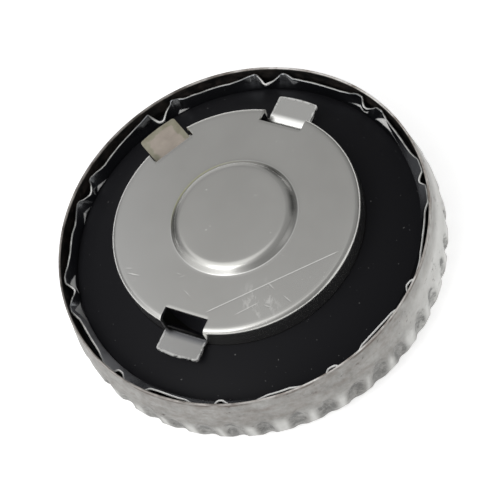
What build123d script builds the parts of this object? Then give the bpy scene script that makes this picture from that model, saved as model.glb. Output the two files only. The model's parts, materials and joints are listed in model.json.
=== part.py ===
from build123d import *
import os
from math import atan2, cos, degrees, hypot, radians, sin, sqrt, tan

os.makedirs("parts", exist_ok=True)

# Three-lug bayonet fuel filler cap with a vent valve, pressed from steel sheet.
# Millimetres. The origin is the centre of the closed outer face, and +Z points out of the
# open side, towards the filler neck.

# ---- driving sizes: outer shell ---------------------------------------------------------
rim_diameter = 94.0          # outside of the open rim
shell_height = 19.0          # closed face to open rim
shell_sheet = 0.8
grip_rise = 1.5              # how far the grip zone stands out past the rim
grip_height = 9.6            # top of the grip zone above the closed face
corner_radius = 5.5          # outside corner of the closed face
flute_count = 40
flute_depth = 1.1            # a flute is an oval hollow pressed into the corner
flute_across = 2.8           # section radius of a flute across the wall's height
flute_along = 16.0           # section radius of a flute along the wall's height
flute_turn = 6.0             # its deepest place, degrees round the corner from the wall
flute_phase = 7.9            # angle of the first flute, degrees

# ---- driving sizes: locking cup and its lugs --------------------------------------------
cup_diameter = 62.5
cup_stand = 6.2              # cup's closed face above the shell's rim
cup_sheet = 0.9
cup_edge_radius = 1.3        # outside edge of the cup's closed face
boss_diameter = 31.8         # foot of the raised centre
boss_height = 1.7
boss_slope = 1.7             # radial run of the slope round the raised centre
boss_shoulder = 2.6          # rounding over the slope and under it, on the outside
boss_hollow = 0.3
foot_width = 5.0             # inward foot, spot welded to the backing plate
lug_angles = (60.0, 120.0, 240.0)
lug_rises = (2.7, 3.4, 1.6)  # upper face of each lug above the shell's rim, as bent
lug_reaches = (36.9, 37.2, 36.6)   # cap's axis to the curved tip of each lug
lug_widths = (10.6, 10.4, 11.4)
lug_bend = 1.8               # inside radius of a lug's bend
lug_tuck = 0.95              # how far the bend stands inward of the cup's wall
lug_heel = 4.0               # strip below a lug's bend, welded to the inside of the cup
lug_corner = 0.5
notch_width = 11.7
notch_drop = 0.6             # under face of a lug to the foot of its notch
notch_depth = 4.15           # cup's wall to the notch's inner edge

# ---- driving sizes: gasket and pleated band ---------------------------------------------
gasket_thickness = 3.0
gasket_hole_gap = 1.05       # cup's wall to the gasket's hole
gasket_drop = 5.1            # fall of the sealing face from the hole to the band
gasket_bulge = 0.5           # how far the sealing face bows out of a straight cone
gasket_edge = 0.4            # rounding of the hole's upper edge
band_sheet = 0.4             # radial thickness of the pleated band
band_foot_inset = 2.05       # shell's bore to the band's round lower edge
band_top_drop = 1.7          # upper edge of the band below the shell's rim
pleat_angles = (77, 39, 5, -32, -66, -101, -136, -173, -210, -244)   # inner folds, degrees
pleat_near_turn = 3.2        # inner fold to the outer folds and the knee, degrees
pleat_far_turn = 3.6
pleat_knee_turn = 9.5
pleat_fold_turn = 1.1        # half the flat top of an inner fold, degrees
pleat_flat_turn = 4.0        # half the flat stretch between two pleats, degrees
pleat_tip_inset = 1.8        # inner fold of a pleat, inward of the outer folds
pleat_knee_inset = 1.0
pleat_chord_inset = 1.3
pleat_tip_dip = 1.2          # how far the inner folds dip below the upper edge

# ---- driving sizes: backing plate, filter and vent valve --------------------------------
plate_sheet = 0.8
plate_floor = 9.0            # upper face of the plate's flat centre
socket_clearance = 0.15      # cup's wall to the plate's socket
breather_width = 5.0         # slots at the foot of the backing plate
breather_height = 2.0
breather_count = 4
filter_diameter = 60.0
filter_bore = 20.0
vent_hole_diameter = 2.4
vent_hole_count = 6
vent_circle_diameter = 9.2
stem_diameter = 4.0
stem_clearance = 0.08        # radial, in the guide hole
stem_tail = 4.0              # stem below the backing plate
stem_chamfer = 0.4
stem_head_diameter = 8.0
stem_head_height = 1.2
stem_head_round = 0.5
seat_diameter = 14.0         # crown line of the raised valve seat
seat_bead_radius = 0.7
seal_diameter = 18.0
seal_thickness = 1.5
disc_diameter = 17.0
disc_sheet = 0.8
disc_round = 0.3
spring_wire = 0.9
spring_mean_diameter = 11.4
spring_turns = 4.5
spring_seat_sheet = 0.5
spring_seat_lip = 1.5

# ---- fits -------------------------------------------------------------------------------
face_gap = 0.05              # between faces that lie on each other
wall_gap = 0.10              # between a piece and the wall it stands against

# ---- radii and heights worked out from them ---------------------------------------------
rim_radius = rim_diameter / 2
shell_bore = rim_radius - shell_sheet
wall_fit = shell_bore - wall_gap
grip_radius = rim_radius + grip_rise
inner_corner = corner_radius - shell_sheet
corner_centre = grip_radius - corner_radius
inner_centre = shell_bore - inner_corner

cup_radius = cup_diameter / 2
cup_bore = cup_radius - cup_sheet
cup_top = shell_height + cup_stand
boss_top = cup_top + boss_height
bend_inside = cup_bore - lug_tuck - cup_sheet
bend_outside = cup_bore - lug_tuck
bend_centre = bend_outside + lug_bend

gasket_hole = cup_radius + gasket_hole_gap
band_foot = shell_bore - band_foot_inset
band_seat = band_foot - band_sheet - 2 * wall_gap
gasket_low = shell_height - gasket_drop
gasket_slope = gasket_drop / (band_seat - gasket_hole)


def sealing_height(radius):
    """Height at a radius of the straight cone that the sealing face bows out of."""
    return shell_height - gasket_slope * (radius - gasket_hole)


def plate_height(radius):
    """Height at a radius of the backing plate's cone, where the gasket lies on it."""
    return sealing_height(radius) - gasket_thickness - face_gap


# ---- outer shell: one deep drawing, fluted round its corner -----------------------------
# A flute is the hollow that the tube of a torus leaves: the torus lies in a plane through
# the cap's axis, and its tube runs deepest where the wall turns into the closed face.
flute_reach = corner_radius - flute_depth + flute_along
flute_axis_radius = corner_centre + flute_reach * cos(radians(flute_turn))
flute_axis_height = corner_radius - flute_reach * sin(radians(flute_turn))

with BuildPart() as outer_shell:
    with BuildSketch(Plane.XZ):
        with BuildLine():
            closed_face = Line((0, 0), (corner_centre, 0))
            outer_arc = RadiusArc(closed_face @ 1, (grip_radius, corner_radius), -corner_radius)
            grip_wall = Line(outer_arc @ 1, (grip_radius, grip_height))
            plain_wall = Line(grip_wall @ 1, (rim_radius, shell_height - shell_sheet / 2))
            rim_edge = ThreePointArc(
                plain_wall @ 1,
                (rim_radius - shell_sheet / 2, shell_height),
                (shell_bore, shell_height - shell_sheet / 2),
            )
            bore_wall = Line(rim_edge @ 1, (shell_bore, corner_radius))
            inner_arc = RadiusArc(bore_wall @ 1, (inner_centre, shell_sheet), inner_corner)
            inside_floor = Line(inner_arc @ 1, (0, shell_sheet))
            Line(inside_floor @ 1, closed_face @ 0)
        make_face()
    revolve(axis=Axis.Z)
    with PolarLocations(0, flute_count, start_angle=flute_phase):
        with Locations(Location((flute_axis_radius, 0, flute_axis_height), (90, 0, 0))):
            Torus(flute_along - flute_across, flute_across, mode=Mode.SUBTRACT)
outer_shell.part.label = "outer_shell"
export_step(outer_shell.part, "parts/outer_shell.step")

# ---- backing plate: carries the gasket and the cup, and holds the valve seat ------------
socket_bore = cup_radius + socket_clearance
socket_wall = socket_bore + plate_sheet
leg_inside = wall_fit - plate_sheet
leg_foot = corner_radius - sqrt(inner_corner**2 - (wall_fit - inner_centre) ** 2) + face_gap
plate_under = plate_floor - plate_sheet

with BuildPart() as backing_plate:
    with BuildSketch(Plane.XZ):
        with BuildLine():
            Polyline(
                (0, plate_under),
                (socket_wall, plate_under),
                (socket_wall, plate_height(socket_wall) - plate_sheet),
                (leg_inside, plate_height(leg_inside) - plate_sheet),
                (leg_inside, leg_foot),
                (wall_fit, leg_foot),
                (wall_fit, plate_height(wall_fit)),
                (socket_bore, plate_height(socket_bore)),
                (socket_bore, plate_floor),
                (0, plate_floor),
                close=True,
            )
        make_face()
    revolve(axis=Axis.Z)
    with BuildSketch(Plane.XZ):
        with Locations((seat_diameter / 2, plate_floor)):
            Circle(seat_bead_radius)
            Rectangle(
                2 * seat_bead_radius,
                seat_bead_radius,
                align=(Align.CENTER, Align.MAX),
                mode=Mode.SUBTRACT,
            )
    revolve(axis=Axis.Z)
    with Locations((0, 0, plate_floor)):
        Hole(radius=stem_diameter / 2 + stem_clearance)
        with PolarLocations(vent_circle_diameter / 2, vent_hole_count):
            Hole(radius=vent_hole_diameter / 2)
    with Locations((0, 0, leg_foot)):
        with PolarLocations(wall_fit, breather_count, start_angle=180 / breather_count):
            Box(4 * plate_sheet, breather_width, 2 * breather_height, mode=Mode.SUBTRACT)
backing_plate.part.label = "backing_plate"
export_step(backing_plate.part, "parts/backing_plate.step")

# ---- sealing gasket: one moulded rubber ring with a ledge that the band presses on ------
crown_radius = (gasket_hole + band_seat) / 2
with BuildPart() as sealing_gasket:
    with BuildSketch(Plane.XZ):
        with BuildLine():
            crown = ThreePointArc(
                (gasket_hole, shell_height),
                (crown_radius, sealing_height(crown_radius) + gasket_bulge),
                (band_seat, gasket_low),
            )
            ledge = Line(crown @ 1, (wall_fit, gasket_low))
            rim = Line(ledge @ 1, (wall_fit, plate_height(wall_fit) + face_gap))
            base = Line(rim @ 1, (gasket_hole, shell_height - gasket_thickness))
            Line(base @ 1, crown @ 0)
        make_face()
    revolve(axis=Axis.Z)
    fillet(sealing_gasket.edges().group_by(Axis.Z)[-1], radius=gasket_edge)
sealing_gasket.part.label = "sealing_gasket"
export_step(sealing_gasket.part, "parts/sealing_gasket.step")

# ---- locking cup: drawn cup, raised centre, three lugs sheared and bent out of its edge --
cup_floor = plate_floor + face_gap
foot_bore = cup_bore - foot_width
boss_radius = boss_diameter / 2
boss_flat = boss_radius - boss_slope
boss_lean = atan2(boss_height, boss_slope)
boss_shift = cup_sheet * tan(boss_lean / 2)
notch_floor = cup_radius - notch_depth


def near_radius(radius):
    """Selects the profile's corners at one radius."""
    return lambda corner: abs(corner.X - radius) < face_gap


with BuildPart() as locking_cup:
    with BuildSketch(Plane.XZ):
        with BuildLine():
            Polyline(
                (0, boss_top),
                (boss_flat, boss_top),
                (boss_radius, cup_top),
                (cup_radius, cup_top),
                (cup_radius, cup_floor),
                (foot_bore, cup_floor),
                (foot_bore, cup_floor + cup_sheet),
                (cup_bore, cup_floor + cup_sheet),
                (cup_bore, cup_top - cup_sheet),
                (boss_radius - boss_shift, cup_top - cup_sheet),
                (boss_flat - boss_shift, boss_top - cup_sheet),
                (0, boss_top - cup_sheet),
                close=True,
            )
        make_face()
        fillet(vertices().filter_by(near_radius(cup_radius)), radius=cup_edge_radius)
        fillet(vertices().filter_by(near_radius(cup_bore)), radius=cup_edge_radius - cup_sheet)
        for bend_radius, rounding in (
            (boss_flat, boss_shoulder),
            (boss_flat - boss_shift, boss_shoulder - cup_sheet),
            (boss_radius, boss_hollow),
            (boss_radius - boss_shift, boss_hollow + cup_sheet),
        ):
            fillet(vertices().filter_by(near_radius(bend_radius)), radius=rounding)
    revolve(axis=Axis.Z)
    for angle, rise in zip(lug_angles, lug_rises):
        notch_foot = shell_height + rise - cup_sheet - notch_drop
        notch = Location((0, 0, 0), (0, 0, angle)) * Location((notch_floor, 0, notch_foot))
        with Locations(notch):
            Box(
                notch_depth + cup_sheet,
                notch_width,
                boss_top - notch_foot,
                align=(Align.MIN, Align.CENTER, Align.MIN),
                mode=Mode.SUBTRACT,
            )
    for angle, rise, reach, width in zip(lug_angles, lug_rises, lug_reaches, lug_widths):
        lug_top = shell_height + rise
        lug_under = lug_top - cup_sheet
        lug_root = lug_under - lug_bend
        with BuildPart(mode=Mode.ADD) as lug:
            with BuildSketch(Plane.XZ.rotated((0, 0, angle))):
                with BuildLine():
                    inside = Line(
                        (cup_bore - cup_sheet / 2, lug_root - lug_heel),
                        (bend_inside, lug_root),
                    )
                    outer_bend = RadiusArc(
                        inside @ 1, (bend_centre, lug_top), lug_bend + cup_sheet
                    )
                    upper = Line(outer_bend @ 1, (reach, lug_top))
                    tip = Line(upper @ 1, (reach, lug_under))
                    lower = Line(tip @ 1, (bend_centre, lug_under))
                    inner_bend = RadiusArc(lower @ 1, (bend_outside, lug_root), -lug_bend)
                    heel = Line(inner_bend @ 1, (cup_bore + cup_sheet / 2, lug_root - lug_heel))
                    Line(heel @ 1, inside @ 0)
                make_face()
            extrude(amount=width / 2, both=True)
            with BuildSketch(Plane.XY.offset(lug_root - lug_heel)):
                Circle(reach)
            extrude(amount=lug_heel + lug_bend + cup_sheet, mode=Mode.INTERSECT)
            corners = lug.edges().filter_by(Axis.Z).group_by(
                lambda edge: round(hypot(edge.center().X, edge.center().Y), 1)
            )
            fillet(corners[-1], radius=lug_corner)
locking_cup.part.label = "locking_cup"
export_step(locking_cup.part, "parts/locking_cup.step")

# ---- pleated band: thin strip, round at its foot and pleated where it meets the shell ---
band_base = gasket_low + face_gap
band_top = shell_height - band_top_drop
# A pleat's corners: angle from its inner fold, and distance inward of the outer folds.
pleat_profile = (
    (pleat_near_turn, 0.0),
    (pleat_fold_turn, pleat_tip_inset),
    (-pleat_fold_turn, pleat_tip_inset),
    (-pleat_far_turn, 0.0),
    (-pleat_knee_turn, pleat_knee_inset),
)


def band_corners(inward, at_foot):
    """Corners of the band's outline at its round foot or at its pleated upper edge."""
    outline = []
    for fold, following in zip(pleat_angles, pleat_angles[1:] + (pleat_angles[0] - 360,)):
        middle = (following - fold - pleat_knee_turn + pleat_near_turn) / 2
        flat = (
            (middle + pleat_flat_turn, pleat_chord_inset),
            (middle - pleat_flat_turn, pleat_chord_inset),
        )
        for turn, inset in pleat_profile + flat:
            reach = (band_foot if at_foot else wall_fit - inset) - inward
            angle = radians(fold + turn)
            outline.append((reach * cos(angle), reach * sin(angle)))
    return outline


tip_lean = degrees(atan2(pleat_tip_dip, pleat_tip_inset))
with BuildPart() as pleated_band:
    for inward, mode in ((0, Mode.ADD), (band_sheet, Mode.SUBTRACT)):
        with BuildSketch(Plane.XY.offset(band_base)):
            Polygon(*band_corners(inward, at_foot=True), align=None)
        with BuildSketch(Plane.XY.offset(band_top)):
            Polygon(*band_corners(inward, at_foot=False), align=None)
        loft(ruled=True, mode=mode)
    # The inner folds are trimmed lower than the rest of the upper edge.
    for fold in pleat_angles:
        turned = Location((0, 0, 0), (0, 0, fold))
        with Locations(turned * Location((wall_fit, 0, band_top), (0, -tip_lean, 0))):
            Box(
                4 * pleat_tip_inset,
                2 * pleat_tip_inset,
                band_top_drop,
                align=(Align.CENTER, Align.CENTER, Align.MIN),
                mode=Mode.SUBTRACT,
            )
pleated_band.part.label = "pleated_band"
export_step(pleated_band.part, "parts/pleated_band.step")

# ---- filter pad: felt ring between the shell and the backing plate ----------------------
with BuildPart() as filter_pad:
    with BuildSketch(Plane.XY.offset(shell_sheet + face_gap)):
        Circle(filter_diameter / 2)
        Circle(filter_bore / 2, mode=Mode.SUBTRACT)
    extrude(amount=plate_under - shell_sheet - 2 * face_gap)
filter_pad.part.label = "filter_pad"
export_step(filter_pad.part, "parts/filter_pad.step")

# ---- vent valve: rubber washer and steel disc on a headed guide stem --------------------
seal_base = plate_floor + seat_bead_radius + face_gap
disc_base = seal_base + seal_thickness + face_gap
disc_top = disc_base + disc_sheet
head_base = disc_top + face_gap
head_top = head_base + stem_head_height
stem_radius = stem_diameter / 2
stem_base = plate_under - stem_tail

with BuildPart() as valve_seal:
    with BuildSketch(Plane.XY.offset(seal_base)):
        Circle(seal_diameter / 2)
        Circle(stem_radius + face_gap, mode=Mode.SUBTRACT)
    extrude(amount=seal_thickness)
valve_seal.part.label = "valve_seal"
export_step(valve_seal.part, "parts/valve_seal.step")

with BuildPart() as valve_disc:
    with BuildSketch(Plane.XY.offset(disc_base)):
        Circle(disc_diameter / 2)
        Circle(stem_radius + face_gap, mode=Mode.SUBTRACT)
    extrude(amount=disc_sheet)
    fillet(valve_disc.edges().group_by(Axis.Z)[-1].sort_by(SortBy.RADIUS)[-1], disc_round)
valve_disc.part.label = "valve_disc"
export_step(valve_disc.part, "parts/valve_disc.step")

with BuildPart() as valve_stem:
    with BuildSketch(Plane.XZ):
        with BuildLine():
            Polyline(
                (0, stem_base),
                (stem_radius, stem_base),
                (stem_radius, head_base),
                (stem_head_diameter / 2, head_base),
                (stem_head_diameter / 2, head_top),
                (0, head_top),
                close=True,
            )
        make_face()
    revolve(axis=Axis.Z)
    chamfer(valve_stem.edges().group_by(Axis.Z)[0], length=stem_chamfer)
    fillet(valve_stem.edges().group_by(Axis.Z)[-1], radius=stem_head_round)
valve_stem.part.label = "valve_stem"
export_step(valve_stem.part, "parts/valve_stem.step")

# ---- spring seat: small pressed cup that centres the spring under the raised centre -----
seat_top = boss_top - cup_sheet - face_gap
seat_under = seat_top - spring_seat_sheet
seat_bore = spring_mean_diameter / 2 + spring_wire / 2 + wall_gap
with BuildPart() as spring_seat:
    with BuildSketch(Plane.XY.offset(seat_top)):
        Circle(seat_bore + spring_seat_sheet)
    extrude(amount=-spring_seat_sheet - spring_seat_lip)
    with BuildSketch(Plane.XY.offset(seat_under)):
        Circle(seat_bore)
    extrude(amount=-spring_seat_lip, mode=Mode.SUBTRACT)
spring_seat.part.label = "spring_seat"
export_step(spring_seat.part, "parts/spring_seat.step")

# ---- valve spring: open coil between the valve disc and the spring seat -----------------
coil_base = disc_top + face_gap + spring_wire / 2
coil_height = seat_under - face_gap - spring_wire / 2 - coil_base
with BuildPart() as valve_spring:
    with BuildLine():
        coil = Helix(
            pitch=coil_height / spring_turns,
            height=coil_height,
            radius=spring_mean_diameter / 2,
            center=(0, 0, coil_base),
        )
    with BuildSketch(Plane(origin=coil @ 0, z_dir=coil % 0)):
        RegularPolygon(radius=spring_wire / 2, side_count=8)
    sweep()
valve_spring.part.label = "valve_spring"
export_step(valve_spring.part, "parts/valve_spring.step")
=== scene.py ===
import json
from math import pi, radians

import bpy
import numpy as np
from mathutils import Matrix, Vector


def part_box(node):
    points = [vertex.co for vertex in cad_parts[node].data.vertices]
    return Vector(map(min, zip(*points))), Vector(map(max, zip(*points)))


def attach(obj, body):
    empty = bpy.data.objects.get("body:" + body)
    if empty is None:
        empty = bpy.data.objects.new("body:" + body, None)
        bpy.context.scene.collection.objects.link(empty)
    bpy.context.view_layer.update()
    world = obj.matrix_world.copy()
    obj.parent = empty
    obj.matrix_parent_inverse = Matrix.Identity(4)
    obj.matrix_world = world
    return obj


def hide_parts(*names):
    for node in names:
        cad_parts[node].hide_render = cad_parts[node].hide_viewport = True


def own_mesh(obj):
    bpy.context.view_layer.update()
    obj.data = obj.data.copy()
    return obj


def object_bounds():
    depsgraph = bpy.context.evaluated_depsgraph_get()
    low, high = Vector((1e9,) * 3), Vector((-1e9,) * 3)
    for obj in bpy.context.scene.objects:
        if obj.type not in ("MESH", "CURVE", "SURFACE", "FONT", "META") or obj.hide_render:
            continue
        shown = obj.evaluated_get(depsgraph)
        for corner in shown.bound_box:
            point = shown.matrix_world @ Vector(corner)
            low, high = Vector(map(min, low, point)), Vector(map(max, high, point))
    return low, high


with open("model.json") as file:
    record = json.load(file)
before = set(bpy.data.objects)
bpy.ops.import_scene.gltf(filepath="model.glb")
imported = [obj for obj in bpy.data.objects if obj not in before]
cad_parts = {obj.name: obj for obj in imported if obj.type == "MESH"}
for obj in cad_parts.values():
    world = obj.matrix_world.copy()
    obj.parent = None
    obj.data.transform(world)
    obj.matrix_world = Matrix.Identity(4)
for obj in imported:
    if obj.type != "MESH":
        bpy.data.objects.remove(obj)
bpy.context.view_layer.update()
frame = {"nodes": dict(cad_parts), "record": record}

# A three-lug bayonet fuel filler cap, seen from its open side. Metres, in the frame of the
# solids: the origin is the centre of the closed outer face and +Z points out of the rim.
MM = 0.001

# ---- sizes, millimetres -------------------------------------------------------------------
RIM_RADIUS = 47.0
SHELL_HEIGHT = 19.0
SHELL_SHEET = 0.8
SHELL_BORE = RIM_RADIUS - SHELL_SHEET
RIM_SHEET = 0.42
RIM_DEPTH = 2.4
RIM_FLARE = 0.36
RIM_FLARE_ANGLE = 110.0
# Waves of the wall: height, how many go round, and phase. They run about a slightly
# smaller circle.
WALL_WAVES = ((0.05, 3, 0.6), (0.04, 7, 2.0))
WALL_INSET = 0.1
GRIP_RADIUS = 48.5
GRIP_HEIGHT = 9.6
CORNER_RADIUS = 5.5
SHELL_POLE = 0.05
FLUTE_COUNT = 40
FLUTE_PHASE = 7.9
FLUTE_DEPTH = 1.1
FLUTE_MIDDLE = 1.3
FLUTE_REACH_DOWN = 6.2

CUP_RADIUS = 31.25
CUP_SHEET = 0.9
CUP_TOP = 25.2
CUP_EDGE = 1.3
CUP_FLOOR = 9.05
CUP_FOOT = 5.0
BOSS_RADIUS = 15.9
POLE_RADIUS = 1.0
BOSS_SLOPE = 1.7
BOSS_HEIGHT = 1.7
BOSS_SHOULDER = 2.6
BOSS_HOLLOW = 0.3
LUG_ANGLES = (60.0, 120.0, 240.0)
LUG_RISES = (2.7, 3.4, 1.6)
LUG_REACHES = (36.9, 37.2, 36.6)
LUG_WIDTHS = (10.6, 10.4, 11.4)
LUG_BENDS = (3.2, 1.8, 1.8)
LUG_TUCKS = (2.0, 1.9, 0.95)
LUG_HEEL = 4.0
LUG_CORNER = 0.5
NOTCH_WIDTH = 11.7
NOTCH_DROP = 0.6
NOTCH_DEPTH = 4.15
NOTCH_BOW_START = 20.0
TARNISHED_LUG = 120.0
BRIGHT_LUG = 60.0
SHADED_LUG = 240.0
LUG_FIELDS = ("margin", "bend", "heel", "shade", "tarnish")

GASKET_HOLE = 31.28
GASKET_THICKNESS = 3.0
GASKET_DROP = 5.1
GASKET_BULGE = 0.5
GASKET_EDGE = 0.12
WALL_FIT = SHELL_BORE - 0.1
SPRING_WIRE = 0.9
SPRING_RADIUS = 5.7
SPRING_TURNS = 4.5
BAND_FOOT = 44.15
BAND_SHEET = 0.46
BAND_FLARE = 1.3
BAND_TOP = 17.3
BAND_BASE = SHELL_HEIGHT - GASKET_DROP + 0.05
GASKET_SEAT = BAND_FOOT - BAND_SHEET - 0.05

SHELL_COLUMNS = 760
CUP_COLUMNS = 480
BAND_COLUMNS = 1440
GASKET_COLUMNS = 360

# The band's upper edge: angle, distance inward of the wall and dip, down from BAND_TOP. Each
# inner fold is a steep notch between two corners at the wall, and long chords join them.
BAND_EDGE = (
    (178.1, 0.7, 0.08), (175.3, 1.05, 0.11), (173.1, 1.21, 0.13), (166.5, 1.05, 0.11),
    (163.2, 1.27, 0.13), (161.1, 0.85, 0.45), (156.4, 0.03, 0.04), (155.4, 0, 0.02),
    (154.5, 0.22, 0.13), (153.5, 0.9, 0.48), (151.2, 1.69, 0.87), (150.1, 1.65, 0.85),
    (149.4, 1.47, 0.76), (148, 0.83, 0.44), (147, 0.09, 0.07), (146.2, 0, -0.11),
    (143.2, 0.57, 0.06), (141.7, 1.03, 0.11), (139.9, 1.29, 0.13), (126.7, 0.74, 0.08),
    (122, 0.3, 0.04), (118.2, 0, -0.65), (117.2, 1.37, 0.71), (116.4, 2.6, 1.32),
    (115.2, 2.85, 1.45), (113, 1.5, 0.77), (110.7, 0.57, 0.31), (109.9, 0, -0.23),
    (109.3, 0, -0.48), (107.4, 0.18, 0.02), (105.6, 0.89, 0.09), (104.3, 1.01, 0.11),
    (102.8, 1, 0.11), (100.1, 1.21, 0.13), (93.1, 1.16, 0.12), (89.7, 1.25, 0.13),
    (86.3, 0.82, 0.09), (83, 0.02, 0.01), (81.5, 0, -0.45), (80.7, 0, -0.1), (79.1, 1.24, 0.64),
    (78.1, 2.18, 1.12), (75.3, 1.44, 0.74), (74, 0.75, 0.4), (73.1, 0.06, 0.05), (71.9, 0, -0.53),
    (70.7, 0, -0.16), (68.6, 0.77, 0.41), (65.9, 1.07, 0.11), (58.6, 1.22, 0.13),
    (54.9, 1.2, 0.13), (51.2, 1.05, 0.11), (47.7, 0.51, 0.06), (45.2, 0, -0.54), (42.8, 0, -0.7),
    (42, 0.86, 0.46), (41, 1.49, 0.77), (39.7, 1.47, 0.76), (38.1, 0.74, 0.4), (37.1, 0.02, 0.04),
    (34.2, 0, -0.7), (33.8, 0, -0.03), (31.4, 0.6, 0.07), (28.3, 0.84, 0.09), (23.9, 0.95, 0.1),
    (18.7, 0.86, 0.09), (16.1, 0.65, 0.07), (14.1, 0.21, 0.03), (12.5, -0.35, -0.2),
    (8.6, -0.35, -0.1), (7.8, -0.3, 0), (7.2, 0.2, 0.15), (6.4, 0.7, 0.35), (5.6, 1.05, 0.5),
    (4.8, 1, 0.48), (4, 0.45, 0.25), (3.2, -0.25, 0.1), (1.2, -0.35, -0.2), (-3.4, -0.35, -0.2),
    (-4.9, 0.3, 0.06), (-6.6, 0.58, 0.08), (-13.6, 0.69, 0.09), (-16, 0.62, 0.09),
    (-20.4, 0.35, 0.04), (-22.5, 0, 0), (-29.3, -0.4, 0.2), (-30, 0.45, 0.3), (-31.1, 0.8, 0.45),
    (-31.8, 0.88, 0.5), (-32.8, 0.35, 0.2), (-34, -0.4, 0.2), (-39.5, -0.4, 0.2),
    (-41.6, 0.34, 0.04), (-46.9, 0.73, 0.08), (-51.4, 0.74, 0.08), (-54.9, 0.53, 0.06),
    (-57.5, -0.4, 0.2), (-64.2, -0.4, 0.2), (-64.9, 0.7, 0.3), (-66.1, 1.01, 0.46),
    (-67.2, 0.97, 0.43), (-68.9, -0.4, 0.2), (-75, -0.4, 0.2), (-80, 0.69, 0.07),
    (-86.9, 0.65, 0.07), (-92.2, -0.4, 0.2), (-98.7, -0.4, 0.2), (-99.8, 0.2, 0.12),
    (-101.3, 1.1, 0.5), (-102.5, 0.94, 0.42), (-103.4, -0.4, 0.2), (-110.2, -0.4, 0.2),
    (-112.5, 0.25, 0.03), (-119, 0.62, 0.06), (-121.9, 0.68, 0.05), (-124.8, 0.5, 0.05),
    (-126.6, -0.4, 0.6), (-134.8, -0.4, 0.8), (-136.3, 0.62, 0.26), (-137.8, 0.59, 0.25),
    (-139, -0.4, 0.8), (-144, -0.4, 0.8), (-147.7, 0.59, 0.06), (-149.9, 0.8, 0.08),
    (-155.5, 1, 0.1), (-158.6, 0.99, 0.1), (-161.4, 0.81, 0.09), (-165, -0.3, 0),
    (-168, -0.4, 0.8), (-169.9, 0.6, 0.32), (-171.3, 1.25, 0.65), (-172.7, 1.66, 0.85),
    (-173.5, 1.52, 0.78), (-174.3, 0.93, 0.48), (-175.3, 0, -0.26), (-177.2, 0, -0.7),
    (-179.8, 0.15, 0.02),
)
FOLDS = (115.6, 78.1, 40.3, 5.0, -31.7, -66.6, -101.9, -137.0, -173.1, 150.4)
# Painted highlights on the band: strength and three corners, as angle and share of the height.
GLINTS = (
    (1.0, (110.2, -0.1), (108.6, 0.24), (105.2, 0.08)),
    (1.0, (118.2, 1.0), (114.2, 1.0), (115.2, 0.45)),
    (1.0, (148.4, 0.14), (146.8, 0.32), (142.4, 0.0)),
    (0.5, (151.9, 1.0), (147.4, 0.42), (148.4, 0.68)),
    (0.4, (148.4, 1.0), (149.5, 0.18), (150.0, 0.55)),
    (0.9, (160.8, 0.05), (157.4, 0.42), (156.9, 0.18)),
    (0.7, (157.8, 0.42), (153.7, 0.04), (157.0, 0.18)),
    (0.2, (154.8, 0.9), (153.4, 0.9), (152.0, 0.0)),
    (0.9, (-179.9, 0.26), (-174.0, 0.88), (-172.6, 0.28)),
    (0.5, (-169.6, 0.2), (-165.8, 0.78), (-160.0, 0.1)),
    (1.0, (46.8, 0.30), (41.4, 0.54), (40.8, 0.32)),
    (1.0, (42.4, 0.28), (39.2, 0.74), (39.3, 0.48)),
    (1.0, (35.8, 0.26), (31.4, 1.0), (26.8, 0.62)),
    (0.4, (30.5, 0.76), (29.5, 0.54), (19.0, 0.22)),
    (0.3, (70.8, 0.92), (66.2, 0.84), (68.4, 0.52)),
    (0.25, (80.6, 0.85), (78.0, 0.85), (79.2, 0.58)),
    (1.0, (79.2, 1.0), (75.0, 1.0), (77.8, 0.72)),
)
# Stretches of the band, by their middle and half length in degrees: where the cut edge is
# dull, and where a painted sheen with some dirt lies on the strip, which has a strength too.
DULL_STRETCHES = ((158.8, 4.2), (109.3, 2.6), (120.0, 2.5), (147.2, 1.5))
SHEEN_AND_DUST_STRETCHES = ((-148.0, 22.0, 0.8), (-112.0, 25.0, 0.5), (8.0, 16.0, 0.3))


# ---- mesh helpers -------------------------------------------------------------------------
def make_piece(name, points, faces, body, material, replaced=(), sharp=35.0):
    """Puts points in millimetres and faces into one mesh object and ties it to the frame."""
    mesh = bpy.data.meshes.new(name)
    mesh.from_pydata((np.asarray(points, float) * MM).tolist(), [], faces)
    mesh.validate()
    mesh.materials.append(material)
    mesh.polygons.foreach_set("use_smooth", np.ones(len(mesh.polygons), dtype=bool))
    mesh.set_sharp_from_angle(angle=radians(sharp))
    piece = bpy.data.objects.new(name, mesh)
    bpy.context.scene.collection.objects.link(piece)
    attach(piece, body)
    if replaced:
        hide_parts(*replaced)
    return piece


def grid_faces(rows, columns, closed_rows=False, closed_columns=True, keep=None):
    """Quads of a grid whose point (row, column) has index row * columns + column."""
    row_ends = rows if closed_rows else rows - 1
    column_ends = columns if closed_columns else columns - 1
    row, column = np.meshgrid(np.arange(row_ends), np.arange(column_ends), indexing="ij")
    next_row = (row + 1) % rows
    next_column = (column + 1) % columns
    quads = np.stack(
        [
            row * columns + column,
            row * columns + next_column,
            next_row * columns + next_column,
            next_row * columns + column,
        ],
        axis=-1,
    )
    if keep is not None:
        return quads[keep[:row_ends, :column_ends]]
    return quads.reshape(-1, 4)


def arc_points(centre, radius, start, end, count):
    """Points on an arc, as angles from start to end in degrees."""
    turn = np.radians(np.linspace(start, end, count))
    return np.column_stack([centre[0] + radius * np.cos(turn), centre[1] + radius * np.sin(turn)])


def resample(profile, spacing):
    """Divides the runs of a profile so that no step is longer than spacing."""
    points = [profile[0]]
    for start, end in zip(profile[:-1], profile[1:]):
        steps = max(1, int(np.ceil(np.hypot(*(end - start)) / spacing)))
        points.extend(start + (end - start) * step / steps for step in range(1, steps + 1))
    return np.array(points)


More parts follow.
